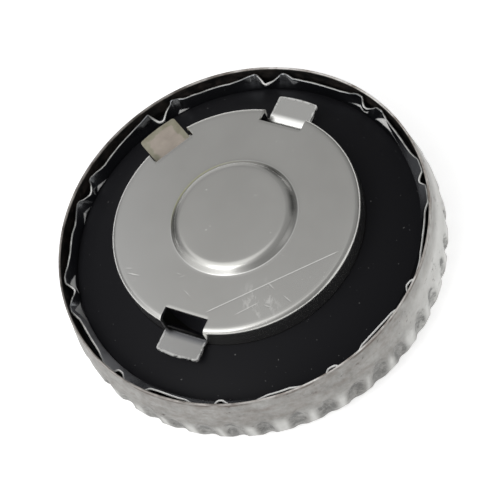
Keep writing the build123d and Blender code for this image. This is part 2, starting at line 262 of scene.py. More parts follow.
def revolved(profile, angles):
    """Points (row, column, xyz): a profile of radius and height turned about the axis."""
    radius, height = profile[:, 0][:, None], profile[:, 1][:, None]
    return np.stack(
        [radius * np.cos(angles), radius * np.sin(angles), height + 0 * angles], axis=-1
    )


def fade(value, start, run):
    """Nothing up to the start, rising evenly to one over the run."""
    return np.clip((value - start) / run, 0, 1)


def paint(piece, name, field):
    """Keeps one number for each point of a piece, for its material to read."""
    attribute = piece.data.attributes.new(name, "FLOAT", "POINT")
    attribute.data.foreach_set("value", np.asarray(field, dtype=np.float32).ravel())


# ---- node helpers -------------------------------------------------------------------------
class Nodes:
    """Short calls for the nodes of one tree."""

    def __init__(self, tree):
        self.tree = tree

    def node(self, kind, **settings):
        made = self.tree.nodes.new(kind)
        for key, value in settings.items():
            setattr(made, key, value)
        return made

    def link(self, value, socket):
        """Links a socket to another, or sets a constant on it."""
        if isinstance(value, bpy.types.NodeSocket):
            self.tree.links.new(value, socket)
        else:
            socket.default_value = value

    def math(self, operation, first, second=0.0):
        made = self.node("ShaderNodeMath", operation=operation)
        self.link(first, made.inputs[0])
        self.link(second, made.inputs[1])
        return made.outputs[0]

    def times(self, first, second):
        return self.math("MULTIPLY", first, second)

    def most(self, first, second):
        return self.math("MAXIMUM", first, second)

    def vector(self, operation, first, second=(0.0, 0.0, 0.0)):
        """The node of one vector operation, with its two inputs set."""
        made = self.node("ShaderNodeVectorMath", operation=operation)
        self.link(first, made.inputs[0])
        self.link(second, made.inputs[1])
        return made

    def ramp(self, value, low, high, from_value=0.0, to_value=1.0, shape="LINEAR"):
        """Maps low..high to from_value..to_value, held at both ends."""
        made = self.node("ShaderNodeMapRange", clamp=True, interpolation_type=shape)
        self.link(value, made.inputs["Value"])
        for key, number in zip(
            ("From Min", "From Max", "To Min", "To Max"), (low, high, from_value, to_value)
        ):
            made.inputs[key].default_value = number
        return made.outputs["Result"]

    def split(self, place, axis):
        made = self.node("ShaderNodeSeparateXYZ")
        self.link(place, made.inputs[0])
        return made.outputs[axis]


class Finish(Nodes):
    """A node material on Object coordinates."""

    def __init__(self, name):
        self.material = bpy.data.materials.new(name)
        self.material.use_nodes = True
        super().__init__(self.material.node_tree)
        self.shader = self.tree.nodes["Principled BSDF"]
        self.place = self.node("ShaderNodeTexCoord").outputs["Object"]

    def noise(self, scale, detail=4.0, roughness=0.55, stretch=(1.0, 1.0, 1.0)):
        mapping = self.node("ShaderNodeMapping")
        self.link(self.place, mapping.inputs["Vector"])
        mapping.inputs["Scale"].default_value = stretch
        made = self.node("ShaderNodeTexNoise")
        self.link(mapping.outputs[0], made.inputs["Vector"])
        made.inputs["Scale"].default_value = scale
        made.inputs["Detail"].default_value = detail
        made.inputs["Roughness"].default_value = roughness
        return made.outputs["Fac"]

    def mix(self, amount, first, second):
        made = self.node("ShaderNodeMix", data_type="RGBA")
        self.link(amount, made.inputs["Factor"])
        self.link(colour(first), made.inputs["A"])
        self.link(colour(second), made.inputs["B"])
        return made.outputs["Result"]

    def cover(self, base, share, strength, tint):
        """Lays a colour over the base, by a share times a strength."""
        return self.mix(self.times(share, strength), base, tint)

    def near(self, place, reach):
        """One at a place in millimetres, falling to nothing at the reach."""
        away = self.vector("DISTANCE", self.place, tuple(MM * part for part in place))
        return self.ramp(away.outputs["Value"], 0.4 * reach * MM, reach * MM, 1.0, 0.0)

    def painted(self, name):
        return self.node("ShaderNodeAttribute", attribute_name=name).outputs["Fac"]

    def along(self, axis, *levels):
        """A ramp between levels in metres on one axis of the frame."""
        return self.ramp(self.split(self.place, axis), *levels)

    def ring(self, radius, width):
        """One on a circle about the cap's axis, falling to nothing within the width."""
        flat = self.vector("MULTIPLY", self.place, (1.0, 1.0, 0.0))
        length = self.vector("LENGTH", flat.outputs[0])
        away = self.math("ABSOLUTE", self.math("SUBTRACT", length.outputs["Value"], radius * MM))
        return self.ramp(away, 0.0, width * MM, 1.0, 0.0)

    def bump(self, height, distance, strength=1.0, over=None):
        made = self.node("ShaderNodeBump")
        self.link(height, made.inputs["Height"])
        made.inputs["Distance"].default_value = distance
        made.inputs["Strength"].default_value = strength
        if over is not None:
            self.link(over, made.inputs["Normal"])
        return made.outputs["Normal"]

    def set(self, **sockets):
        """Sets the shader's sockets by their names and gives the material."""
        for key, value in sockets.items():
            self.link(value, self.shader.inputs[key.replace("_", " ").title()])
        return self.material


def colour(value):
    """A colour of three numbers gets its alpha; a socket or a full colour stays."""
    if isinstance(value, tuple) and len(value) == 3:
        return value + (1.0,)
    return value


# ---- finishes -----------------------------------------------------------------------------
def shell_finish():
    """Dull zinc: mottled grey with streaks round the wall, browner and pitted under the rim,
    darker and rougher in the flutes, nearly black inside the wall. Painted light makes the wall
    paler towards +X, a painted highlight lies on the ridges, and the rim's top carries painted
    shade on its -X side and painted light on its +X side."""
    steel = Finish("dull_zinc_shell")
    cloud = steel.ramp(steel.noise(110.0, 6.0, 0.65, (1.0, 1.0, 1.6)), 0.32, 0.68)
    streak = steel.ramp(steel.noise(260.0, 7.0, 0.75, (1.0, 1.0, 3.5)), 0.42, 0.64)
    plain_wall = steel.along("Z", 0.0085, 0.012)
    base = steel.mix(cloud, (0.225, 0.22, 0.208), (0.345, 0.34, 0.325))
    base = steel.mix(
        steel.times(streak, steel.times(plain_wall, 0.6)), base, (0.22, 0.19, 0.17)
    )
    mottle = steel.ramp(steel.noise(560.0, 5.0, 0.7), 0.40, 0.66)
    base = steel.cover(base, mottle, 0.35, (0.46, 0.46, 0.45))
    # Painted light: the wall is paler towards +X, most below the rim.
    painted_light_side = steel.times(
        steel.along("X", 0.031, 0.046), steel.along("Z", 0.0135, 0.0165, 1.0, 0.3)
    )
    base = steel.cover(base, painted_light_side, 0.75, (0.70, 0.70, 0.68))
    pits = steel.ramp(steel.noise(620.0, 4.0, 0.7, (1.0, 1.0, 1.8)), 0.60, 0.68)
    pits = steel.times(pits, steel.ramp(steel.noise(150.0, 2.0), 0.46, 0.60))
    base = steel.cover(base, pits, 0.85, (0.07, 0.055, 0.05))
    speckle = steel.ramp(steel.noise(430.0, 7.0, 0.8), 0.44, 0.58)
    grime = steel.times(steel.ramp(steel.painted("hollow"), 0.02, 0.35), speckle)
    base = steel.cover(base, grime, 0.8, (0.13, 0.13, 0.125))
    broken = steel.ramp(steel.noise(380.0, 5.0, 0.7), 0.48, 0.60)
    lip_line = steel.times(steel.painted("lip"), broken)
    base = steel.cover(base, lip_line, 0.5, (0.10, 0.09, 0.085))
    # Painted highlight on the ridges between the flutes.
    base = steel.cover(base, steel.painted("ridge"), 0.55, (0.74, 0.74, 0.72))
    # A broken dark brown line just under the rim.
    under_rim_line = steel.times(
        steel.along("Z", 0.0178, 0.0181), steel.along("Z", 0.0184, 0.0187, 1.0, 0.0)
    )
    under_rim_line = steel.times(under_rim_line, steel.ramp(steel.noise(300.0), 0.38, 0.58))
    base = steel.cover(base, under_rim_line, 0.7, (0.10, 0.075, 0.06))
    # Nearly black, patchy colour inside the wall.
    inner = steel.painted("lining")
    lining_patch = steel.ramp(steel.noise(350.0, 5.0, 0.7), 0.42, 0.66)
    lining_tone = steel.mix(lining_patch, (0.008, 0.008, 0.008), (0.045, 0.036, 0.031))
    base = steel.mix(inner, base, lining_tone)
    # The rim's top: painted shade on its -X side and painted light on its +X side, with patches.
    rim = steel.along("Z", 0.0186, 0.0188)
    rim_patch = steel.ramp(steel.noise(240.0, 4.0), 0.35, 0.65)
    rim_painted_shade = steel.mix(rim_patch, (0.12, 0.105, 0.095), (0.46, 0.43, 0.40))
    rim_painted_light = steel.mix(rim_patch, (0.32, 0.28, 0.25), (0.95, 0.93, 0.90))
    base = steel.mix(
        rim, base, steel.mix(steel.along("X", -0.016, 0.008), rim_painted_shade, rim_painted_light)
    )
    grain = steel.bump(steel.noise(2600.0, 2.0), 0.00002, 0.5)
    ripple = steel.bump(cloud, 0.00012, 0.6, over=grain)
    dented = steel.bump(grime, 0.00012, 0.6, over=ripple)
    pitted = steel.bump(steel.math("SUBTRACT", 1.0, pits), 0.00006, 0.9, over=dented)
    return steel.set(
        base_color=base,
        metallic=steel.ramp(steel.most(rim, inner), 0.0, 1.0, 0.85, 0.2),
        roughness=steel.ramp(steel.noise(320.0, 3.0), 0.3, 0.7, 0.40, 0.56),
        normal=pitted,
    )


# Scratches on the cup's closed face: start, end and width in millimetres, and strength.
SCRATCHES = (
    ((-9.1, -24.5), (24.7, -15.5), 0.20, 1.0),
    ((-27.7, -9.1), (-24.4, -10.7), 0.24, 1.0),
    ((-28.4, -7.6), (-26.0, -8.2), 0.20, 0.8),
    ((-26.9, -11.6), (-25.2, -12.0), 0.20, 0.7),
    ((-15.4, -12.0), (-14.0, -12.9), 0.24, 1.0),
    ((-15.0, -13.6), (-12.9, -13.1), 0.18, 0.7),
    ((-13.8, -17.1), (-12.4, -19.4), 0.20, 0.8),
    ((6.6, -19.7), (8.3, -22.3), 0.22, 0.9),
    ((-2.3, -26.9), (4.5, -24.7), 0.20, 0.7),
    ((5.1, -25.6), (7.2, -26.9), 0.22, 0.9),
    ((10.1, -24.1), (12.1, -26.7), 0.20, 0.8),
)
SCRATCH_FADE = 0.0015
# Places are in millimetres.
SMUDGE_PLACE = (4.6, -24.2, 25.2)
SMUDGE_REACH = 6.5
# A painted yellow-green reflection on the slope of the raised middle.
TINTED_REFLECTION_PLACE = (-10.0, 12.5, 25.5)
TINTED_REFLECTION_REACH = 14.0
# Painted dark reflections on the slope of the raised middle: place and reach in millimetres.
BOSS_DARK_REFLECTIONS = (
    ((11.0, 10.1, 26.2), 3.6),
    ((14.8, 0.2, 26.2), 4.6),
    ((-14.9, 1.4, 26.2), 5.5),
)


def scratch(steel, start, end, width):
    """One where the place is within width of the line from start to end, seen from +Z."""
    start, end = np.array(start) * MM, np.array(end) * MM
    along = (end - start) / np.hypot(*(end - start))
    across = np.array([-along[1], along[0]])
    offsets = []
    for direction in (along, across):
        dot = steel.vector("DOT_PRODUCT", steel.place, (*direction, 0.0)).outputs["Value"]
        offsets.append(steel.math("SUBTRACT", dot, float(start @ direction)))
    length = float(np.hypot(*(end - start)))
    inside = steel.times(
        steel.ramp(offsets[0], 0.0, SCRATCH_FADE),
        steel.ramp(offsets[0], length - SCRATCH_FADE, length, 1.0, 0.0),
    )
    near = steel.ramp(steel.math("ABSOLUTE", offsets[1]), 0.0, width * MM, 1.0, 0.0)
    return steel.times(inside, near)


def cup_finish():
    """Satin bright steel with scratches and a scuffed patch on its closed face, which is painted
    paler towards -X as painted light. A painted highlight lines the foot of the raised middle, and
    painted reflections, dark and yellow-green, lie on its slope. The lugs' margins are worn bright
    in chips that also stand for a painted highlight along their edges; one lug's bend carries a
    painted highlight, another lug has painted shade by its bend, and one lug is tarnished."""
    steel = Finish("satin_cup_steel")
    cloud = steel.ramp(steel.noise(60.0, 4.0), 0.3, 0.7)
    base = steel.mix(cloud, (0.60, 0.595, 0.57), (0.66, 0.655, 0.63))
    # Painted light: the closed face is paler towards -X.
    base = steel.mix(steel.along("X", -0.030, -0.012, 0.55, 0.0), base, (0.77, 0.77, 0.76))
    on_face = steel.along("Z", 0.0240, 0.0246)
    marks = steel.times(steel.ramp(steel.noise(1500.0, 2.0), 0.72, 0.80), on_face)
    for start, end, width, strength in SCRATCHES:
        marks = steel.most(marks, steel.times(scratch(steel, start, end, width), strength))
    smudge = steel.times(
        steel.ramp(steel.noise(420.0, 5.0, 0.7, (1.0, 0.5, 1.0)), 0.50, 0.60),
        steel.near(SMUDGE_PLACE, SMUDGE_REACH),
    )
    base = steel.cover(base, marks, 0.7, (0.98, 0.98, 0.95))
    base = steel.cover(base, smudge, 0.75, (0.96, 0.95, 0.92))
    # Painted highlight: a thin pale line at the foot of the raised middle.
    base = steel.cover(base, steel.ring(BOSS_RADIUS + 0.1, 0.25), 0.5, (0.92, 0.92, 0.90))
    # Painted reflection: a yellow-green arc on the slope of the raised middle.
    tinted_reflection = steel.times(steel.ring(BOSS_RADIUS - 0.2, 0.6), steel.near(TINTED_REFLECTION_PLACE, TINTED_REFLECTION_REACH))
    base = steel.cover(base, tinted_reflection, 0.8, (0.62, 0.62, 0.28))
    # Painted dark reflections on the slope of the raised middle.
    for place, reach in BOSS_DARK_REFLECTIONS:
        dark_reflection = steel.times(steel.ring(BOSS_RADIUS - 1.0, 1.1), steel.near(place, reach))
        base = steel.cover(base, dark_reflection, 0.9, (0.16, 0.16, 0.15))
    tarnish = steel.painted("tarnish")
    patches = steel.ramp(steel.noise(330.0, 3.0), 0.35, 0.65)
    brown = steel.mix(patches, (0.46, 0.40, 0.345), (0.54, 0.475, 0.41))
    green = steel.mix(patches, (0.32, 0.30, 0.22), (0.43, 0.41, 0.32))
    uneven = steel.ramp(steel.noise(260.0, 4.0), 0.3, 0.7, -0.5, 0.0)
    edge = steel.math("ADD", steel.painted("margin"), uneven)
    brown = steel.mix(steel.ramp(edge, 0.05, 0.2), brown, green)
    base = steel.mix(tarnish, base, brown)
    base = steel.cover(base, steel.painted("shade"), 0.8, (0.16, 0.165, 0.19))
    # Worn chips at the lugs' margins, which also stand for a painted highlight along their edges.
    chipped = steel.ramp(steel.noise(640.0, 3.0, 0.6), 0.42, 0.56)
    margin = steel.times(steel.ramp(steel.painted("margin"), 0.76, 1.0), chipped)
    margin = steel.times(margin, steel.ramp(tarnish, 0.0, 0.5, 1.0, 0.1))
    base = steel.cover(base, margin, 0.85, (0.93, 0.93, 0.91))
    # Painted highlight on the bright lug: full on its bend, partial over the rest of it.
    base = steel.mix(steel.painted("bend"), base, (1.0, 1.0, 0.98))
    grain = steel.bump(steel.times(steel.noise(3200.0, 2.0), on_face), 0.00001, 0.25)
    scored = steel.bump(steel.math("SUBTRACT", 1.0, marks), 0.00004, 0.6, over=grain)
    matt = steel.most(tarnish, margin)
    matt = steel.most(matt, steel.times(steel.painted("heel"), 0.8))
    matt = steel.most(matt, steel.along("Z", 0.0236, 0.0242, 0.01, 0.0))
    return steel.set(
        base_color=base,
        metallic=steel.ramp(matt, 0.0, 1.0, 1.0, 0.3),
        roughness=steel.ramp(matt, 0.0, 1.0, 0.24, 0.6),
        normal=scored,
    )


def band_finish():
    """Thin strip whose faces mirror the dark rubber, lightly crumpled, with painted highlights,
    the glints, at its foot beside the folds, and on stretches of its face a paler matt patch of
    painted sheen with some dirt."""
    steel = Finish("dark_band_steel")
    # Painted highlights: white matt triangles at the foot beside the folds.
    glint = steel.painted("glint")
    # Painted sheen with some dirt: a paler, matt patch on stretches of the face.
    patchy = steel.ramp(steel.noise(120.0), 0.3, 0.7, 0.5, 1.0)
    dust_and_sheen = steel.times(steel.painted("dust_and_sheen"), patchy)
    crumple = steel.bump(steel.noise(300.0, 3.0), 0.0002, 0.4)
    base = steel.mix(dust_and_sheen, (0.30, 0.31, 0.33), (0.36, 0.36, 0.38))
    return steel.set(
        base_color=steel.mix(glint, base, (1.0, 1.0, 0.98)),
        metallic=steel.ramp(steel.most(dust_and_sheen, glint), 0.0, 1.0, 1.0, 0.0),
        roughness=steel.ramp(steel.most(dust_and_sheen, glint), 0.0, 1.0, 0.16, 0.5),
        normal=crumple,
    )


def band_edge_finish():
    """The strip's cut edge, with a painted highlight at the folds and on the stretch about -80
    degrees round, and dark on its dull stretches.
    """
    steel = Finish("bright_band_edge")
    patchy = steel.ramp(steel.noise(500.0, 3.0), 0.35, 0.65)
    shine = steel.mix(patchy, (0.42, 0.42, 0.40), (0.85, 0.85, 0.82))
    # Painted highlight on the cut edge at the folds and on the stretch about -80 degrees.
    shine = steel.mix(steel.painted("bright"), shine, (1.0, 1.0, 0.98))
    shine = steel.cover(shine, steel.painted("dull"), 0.85, (0.06, 0.06, 0.06))
    return steel.set(base_color=shine, metallic=0.15, roughness=0.45)


def gasket_finish():
    """Glossy black moulded rubber with specks of fine dirt."""
    rubber = Finish("glossy_gasket_rubber")
    speck = rubber.ramp(rubber.noise(1300.0, 1.0), 0.77, 0.80)
    base = rubber.mix(speck, (0.0145, 0.0145, 0.0165), (0.13, 0.13, 0.13))
    wave = rubber.bump(rubber.noise(35.0, 2.0), 0.0002, 0.25)
    rubber.shader.inputs["Specular IOR Level"].default_value = 0.05
    return rubber.set(base_color=base, roughness=0.34, normal=wave)


def plain_steel(name, base, roughness, metallic=1.0):
    """Plated inner pieces: even colour with a fine cloud."""
    steel = Finish(name)
    cloud = steel.ramp(steel.noise(150.0, 4.0), 0.3, 0.7)
    shade = steel.mix(cloud, tuple(0.88 * part for part in base), base)
    return steel.set(base_color=shade, metallic=metallic, roughness=roughness)


def valve_rubber_finish():
    """Dull black rubber, a little cloudy."""
    rubber = Finish("valve_rubber")
    cloud = rubber.ramp(rubber.noise(200.0, 3.0), 0.3, 0.7)
    shade = rubber.mix(cloud, (0.018, 0.018, 0.018), (0.03, 0.03, 0.03))
    return rubber.set(base_color=shade, roughness=0.6)


def felt_finish():
    """Brownish felt with a fine relief of fibres."""
    felt = Finish("filter_felt")
    fibres = felt.noise(1800.0, 6.0, 0.7)
    shade = felt.mix(felt.ramp(fibres, 0.3, 0.7), (0.22, 0.2, 0.16), (0.42, 0.4, 0.34))
    return felt.set(base_color=shade, roughness=0.95, normal=felt.bump(fibres, 0.0003))


# ---- outer shell --------------------------------------------------------------------------
def shell_profile():
    """The shell's section from the axis under the closed face, up the wall and back inside.
    Straight runs joined by the outer corner, the rounded rim and the inner corner. The sheet
    is thinner at the rim."""
    corner_centre = (GRIP_RADIUS - CORNER_RADIUS, CORNER_RADIUS)
    inner_corner = CORNER_RADIUS - SHELL_SHEET
    inner_centre = (SHELL_BORE - inner_corner, CORNER_RADIUS)
    rim_centre = (RIM_RADIUS - RIM_SHEET / 2, SHELL_HEIGHT - RIM_SHEET / 2)
    thinned = SHELL_HEIGHT - RIM_DEPTH
    outside = np.vstack(
        [
            [(SHELL_POLE, 0.0)],
            arc_points(corner_centre, CORNER_RADIUS, -90, 0, 22),
            [(GRIP_RADIUS, GRIP_HEIGHT)],
            arc_points(rim_centre, RIM_SHEET / 2, 0, 90, 7),
        ]
    )
    inside = np.vstack(
        [
            arc_points(rim_centre, RIM_SHEET / 2, 105, 180, 6),
            [(RIM_RADIUS - RIM_SHEET, thinned), (SHELL_BORE, thinned - 0.6)],
            arc_points(inner_centre, inner_corner, 0, -90, 10),
            [(SHELL_POLE, SHELL_SHEET)],
        ]
    )
    outside = np.vstack([resample(outside[:2], 3.0)[:-1], resample(outside[1:], 0.4)])
    return outside, np.vstack([resample(inside[:-1], 1.5), resample(inside[-2:], 8.0)[1:]])


def flute_fields(turn, height, radius):
    """Depth in millimetres pressed in at a place on the shell, and the shares of the lip over
    a flute and of the ridge between two flutes. Each flute is an oval bowl: its depth falls
    off as one less the squares of the offsets across it and along the section. The ovals
    lean a little and differ in width, depth and upper end."""
    draws = np.random.default_rng(12)
    shift = draws.uniform(-0.5, 0.5, FLUTE_COUNT)
    half_width = draws.uniform(2.5, 3.1, FLUTE_COUNT)
    depth = draws.uniform(0.7, 1.0, FLUTE_COUNT) * FLUTE_DEPTH
    reach_up = draws.uniform(3.4, 4.8, FLUTE_COUNT)
    lean = draws.uniform(-0.1, 0.3, FLUTE_COUNT)
    pitch = 360.0 / FLUTE_COUNT
    # The place along the section: height over the corner's centre on the wall, arc below it.
    inside_corner = np.arctan2(CORNER_RADIUS - height, radius - (GRIP_RADIUS - CORNER_RADIUS))
    along = np.where(height > CORNER_RADIUS, height - CORNER_RADIUS, -CORNER_RADIUS * inside_corner)
    degrees_round = np.degrees(turn)
    index = np.round((degrees_round - FLUTE_PHASE) / pitch).astype(int)
    hollow = np.zeros(np.broadcast(turn, height).shape)
    lip = np.zeros(hollow.shape)
    nearest = np.full(hollow.shape, 9.0)
    for neighbour in (-1, 0, 1):
        flute = (index + neighbour) % FLUTE_COUNT
        centre = (index + neighbour) * pitch + FLUTE_PHASE + shift[flute]
        across = (degrees_round - centre - lean[flute] * along) / half_width[flute]
        reach = np.where(along > FLUTE_MIDDLE, reach_up[flute], FLUTE_REACH_DOWN)
        lengthwise = (along - FLUTE_MIDDLE) / reach
        body = 1 - across**2 - lengthwise**2
        hollow = np.maximum(hollow, depth[flute] * np.clip(body, 0, 1))
        lip = np.maximum(lip, np.clip(1 - np.abs(body) / 0.3, 0, 1) * (lengthwise > 0.35))
        nearest = np.minimum(nearest, np.abs(across))
    ridge = fade(nearest, 1.0, 0.4) * fade(along, -5, 2) * fade(-along, -5, 3)
    return hollow, lip, ridge


def build_shell(material):
    """The profile turned about the axis, each point of its outside moved in by the flutes'
    depth square to the section, and out or in by the sum of the wall's waves and the flare,
    a cosine round the rim."""
    outside, inside = shell_profile()
    columns = SHELL_COLUMNS
    turn = np.linspace(0, 2 * pi, columns, endpoint=False)[None, :]
    radius = outside[:, 0][:, None]
    height = outside[:, 1][:, None]
    hollow, lip, ridge = flute_fields(turn, height, radius)
    section = np.gradient(outside, axis=0)
    section /= np.hypot(section[:, 0], section[:, 1])[:, None]
    inward = np.stack([-section[:, 1], section[:, 0]], axis=1)
    waves = sum(size * np.sin(count * turn + phase) for size, count, phase in WALL_WAVES)
    uneven = (waves - WALL_INSET) * fade(height, 3, 12) * fade(radius, 44, 3)
    far = 0.5 + 0.5 * np.cos(turn - radians(RIM_FLARE_ANGLE))
    uneven = uneven + RIM_FLARE * far * fade(height, 12, 6)
    radius_now = radius + hollow * inward[:, 0][:, None] + uneven
    height_now = height + hollow * inward[:, 1][:, None]
    skin = np.stack(
        [radius_now * np.cos(turn), radius_now * np.sin(turn), height_now + 0 * turn], axis=-1
    )
    points = np.concatenate([skin, revolved(inside, turn)]).reshape(-1, 3)
    rows = len(outside) + len(inside)
    faces = grid_faces(rows, columns).tolist()
    faces.append(list(range(columns))[::-1])
    faces.append(list(range((rows - 1) * columns, rows * columns)))
    piece = make_piece(
        "fluted_shell", points, faces, "cap", material, ("outer_shell",), 60.0
    )
    lining = np.zeros((rows, columns))
    lining[len(outside) :] = 1.0
    for name, field in (("hollow", hollow / FLUTE_DEPTH), ("lip", lip), ("ridge", ridge)):
        whole = np.zeros((rows, columns))
        whole[: len(outside)] = field
        paint(piece, name, whole)
    paint(piece, "lining", lining)


# ---- locking cup --------------------------------------------------------------------------
def bend(points, corner, radius, count=6):
    """Replaces the corner between the last point and the next by an arc of the radius."""
    before, at, after = (np.array(point, float) for point in (points[-1], *corner))
    first = (before - at) / np.hypot(*(before - at))
    second = (after - at) / np.hypot(*(after - at))
    half = np.arccos(np.clip(first @ second, -1, 1)) / 2
    inward = (first + second) / np.hypot(*(first + second))
    centre = at + inward * radius / np.sin(half)
    start, end = at + first * radius / np.tan(half), at + second * radius / np.tan(half)
    for share in np.linspace(0, 1, count):
        chord = start + (end - start) * share - centre
        points.append(tuple(centre + chord / np.hypot(*chord) * radius))


def cup_profile(levels):
    """The cup's outside from the centre of its raised middle, down the wall to its foot.
    The rows at the given heights on the wall are kept for the lower ends of the notches."""
    boss_top = CUP_TOP + BOSS_HEIGHT
    boss_flat = BOSS_RADIUS - BOSS_SLOPE
    points = [(POLE_RADIUS, boss_top)]
    bend(points, ((boss_flat, boss_top), (BOSS_RADIUS, CUP_TOP)), BOSS_SHOULDER, 12)
    bend(points, ((BOSS_RADIUS, CUP_TOP), (CUP_RADIUS, CUP_TOP)), BOSS_HOLLOW)
    points += [(CUP_RADIUS - NOTCH_DEPTH, CUP_TOP)]
    bend(points, ((CUP_RADIUS, CUP_TOP), (CUP_RADIUS, CUP_FLOOR)), CUP_EDGE, 9)
    points += [(CUP_RADIUS, level) for level in sorted(levels, reverse=True)]
    bend(points, ((CUP_RADIUS, CUP_FLOOR), (CUP_RADIUS - CUP_FOOT, CUP_FLOOR)), CUP_EDGE)
    points += [(CUP_RADIUS - CUP_SHEET - CUP_FOOT, CUP_FLOOR)]
    return resample(np.array(points), 0.9)


def notched_cup():
    """Points and quads of the cup's outside, a revolved profile with a gap at each lug, and
    the face that closes its pole.
    Near a lug the columns close up until one of them runs along each side of the notch, at
    the arcsine of half its width over the radius, and the notch's inner edge is straight."""
    roots = [SHELL_HEIGHT + rise - CUP_SHEET - NOTCH_DROP for rise in LUG_RISES]
    profile = cup_profile(roots)
    columns, reserved, half_sector = CUP_COLUMNS, 12.0, 30.0
    step = 360.0 / columns
    base = np.arange(columns) * step
    radius, height = profile[:, 0][:, None], profile[:, 1][:, None]
    half_width = NOTCH_WIDTH / 2
    notch_floor = CUP_RADIUS - NOTCH_DEPTH
    on_face = (height > CUP_TOP - 0.01) & (radius > BOSS_RADIUS)
    bow_ends = [NOTCH_BOW_START, notch_floor, CUP_RADIUS - CUP_EDGE]
    bow = np.interp(radius, bow_ends, [0, 1, 0])
    bow = np.where(on_face, bow, 0)
    corner_bow = np.hypot(notch_floor, half_width) - notch_floor
    side = np.degrees(np.arcsin(half_width / np.maximum(radius + corner_bow * bow, notch_floor)))
    side = np.where(radius < notch_floor - 0.01, reserved, side)
    angle = np.tile(base, (len(profile), 1))
    spread = np.zeros_like(angle)
    keep = np.ones(angle.shape, dtype=bool)
    for lug, root in zip(LUG_ANGLES, roots):
        offset = (base - lug + 180.0) % 360.0 - 180.0
        near = np.abs(offset) < half_sector
        size = np.abs(offset[near])[None, :]
        inner = size / reserved * side
        outer = side + (size - reserved) / (half_sector - reserved) * (half_sector - side)
        warped = np.where(size <= reserved, inner, outer)
        angle[:, near] = lug + np.sign(offset[near]) * warped
        fade = np.clip((half_sector - warped) / (half_sector - side), 0, 1)
        straight = notch_floor / np.cos(np.radians(np.minimum(warped, side))) - notch_floor
        spread[:, near] = straight * fade
        gone_columns = (offset > -reserved - step / 2) & (offset < reserved - step / 2)
        gone_rows = (radius[:, 0] > notch_floor - 0.01) & (height[:, 0] > root + 0.01)
        keep[np.ix_(gone_rows, gone_columns)] = False
    reach = radius + spread * bow
    turn = np.radians(angle)
    points = np.stack([reach * np.cos(turn), reach * np.sin(turn), height + 0 * turn], axis=-1)
    pole = list(range(columns))
    return points.reshape(-1, 3), grid_faces(len(profile), columns, keep=keep)[:, ::-1], pole


def lug_strip(angle, rise, reach, width, bend_radius, tuck):
    """Points and quads of a lug's upper side: up the inside of the cup, over the bend and
    out to a tip on a circle about the cap's axis, with rounded corners. Also the shares of
    its margin, close to its sides and tip, which is worn and carries a painted highlight, and
    of its bend, where the bright lug carries a painted highlight."""
    top = SHELL_HEIGHT + rise
    root = top - CUP_SHEET - bend_radius
    outer = bend_radius + CUP_SHEET
    bend_inside = CUP_RADIUS - 2 * CUP_SHEET - tuck
    heel = np.array([(CUP_RADIUS - 1.5 * CUP_SHEET, root - LUG_HEEL), (bend_inside, root)])
    rows = np.vstack(
        [resample(heel, 0.8)[:-1], arc_points((bend_inside + outer, root), outer, 180, 90, 13)]
    )
    across = width / 2 * np.sin(np.linspace(-pi / 2, pi / 2, 41))
    corner = np.clip(np.abs(across) - (width / 2 - LUG_CORNER), 0, None)
    tip = np.sqrt(reach**2 - across**2) - LUG_CORNER + np.sqrt(LUG_CORNER**2 - corner**2 + 1e-9)
    share = np.sin(np.linspace(0, pi / 2, 25))[1:, None]
    flat_start = bend_inside + outer
    along = np.vstack(
        [np.tile(rows[:, :1], (1, len(across))), flat_start + share * (tip[None, :] - flat_start)]
    )
    height = np.concatenate([rows[:, 1], np.full(len(share), top)])[:, None] + 0 * along
    cos_lug, sin_lug = np.cos(radians(angle)), np.sin(radians(angle))
    points = np.stack(
        [along * cos_lug - across * sin_lug, along * sin_lug + across * cos_lug, height], axis=-1
    )
    quads = grid_faces(len(along), len(across), closed_columns=False)[:, ::-1]
    margin = np.minimum(width / 2 - np.abs(across)[None, :], tip[None, :] - along)
    # The margin is worn and a painted highlight; the bright lug's bend is a painted highlight,
    # partly over its whole flat; the shaded lug has painted shade by its bend.
    fields = {
        "margin": np.clip(1 - margin / 2.4, 0, 1) * (along > flat_start - 1),
        "bend": np.clip((flat_start + 0.8 - along) / 1.7, 0.4, 1) * (angle == BRIGHT_LUG),
        "heel": np.clip((bend_inside + 0.9 - along) / 0.6, 0, 1) * (angle == BRIGHT_LUG),
        "shade": np.clip(1.1 - (along - flat_start) / 1.7, 0.32, 1) * (angle == SHADED_LUG),
        "tarnish": np.ones(along.shape) * (angle == TARNISHED_LUG),
    }
    return points.reshape(-1, 3), quads, fields


def build_cup(material):
    """The notched cup and its three lug strips, given the sheet's thickness and worn edges."""
    points, quads, pole = notched_cup()
    painted = {name: [np.zeros(len(points))] for name in LUG_FIELDS}
    for lug in zip(LUG_ANGLES, LUG_RISES, LUG_REACHES, LUG_WIDTHS, LUG_BENDS, LUG_TUCKS):
        strip_points, strip_quads, fields = lug_strip(*lug)
        quads = np.vstack([quads, strip_quads + len(points)])
        points = np.vstack([points, strip_points])
        for name, field in fields.items():
            painted[name].append(field.ravel())
    used, renumbered = np.unique(quads, return_inverse=True)
    quads = renumbered.reshape(quads.shape)
    piece = make_piece(
        "notched_cup",
        points[used],
        quads.tolist() + [pole],
        "cap",
        material,
        ("locking_cup",),
    )
    for name, field in painted.items():
        paint(piece, name, np.concatenate(field)[used])
    sheet = piece.modifiers.new("sheet", "SOLIDIFY")
    sheet.thickness = CUP_SHEET * MM
    sheet.offset = -1.0
    worn_edge = piece.modifiers.new("worn_edge", "BEVEL")
    worn_edge.width = 0.18 * MM
    worn_edge.segments = 3
    worn_edge.limit_method = "ANGLE"
    worn_edge.angle_limit = radians(50)


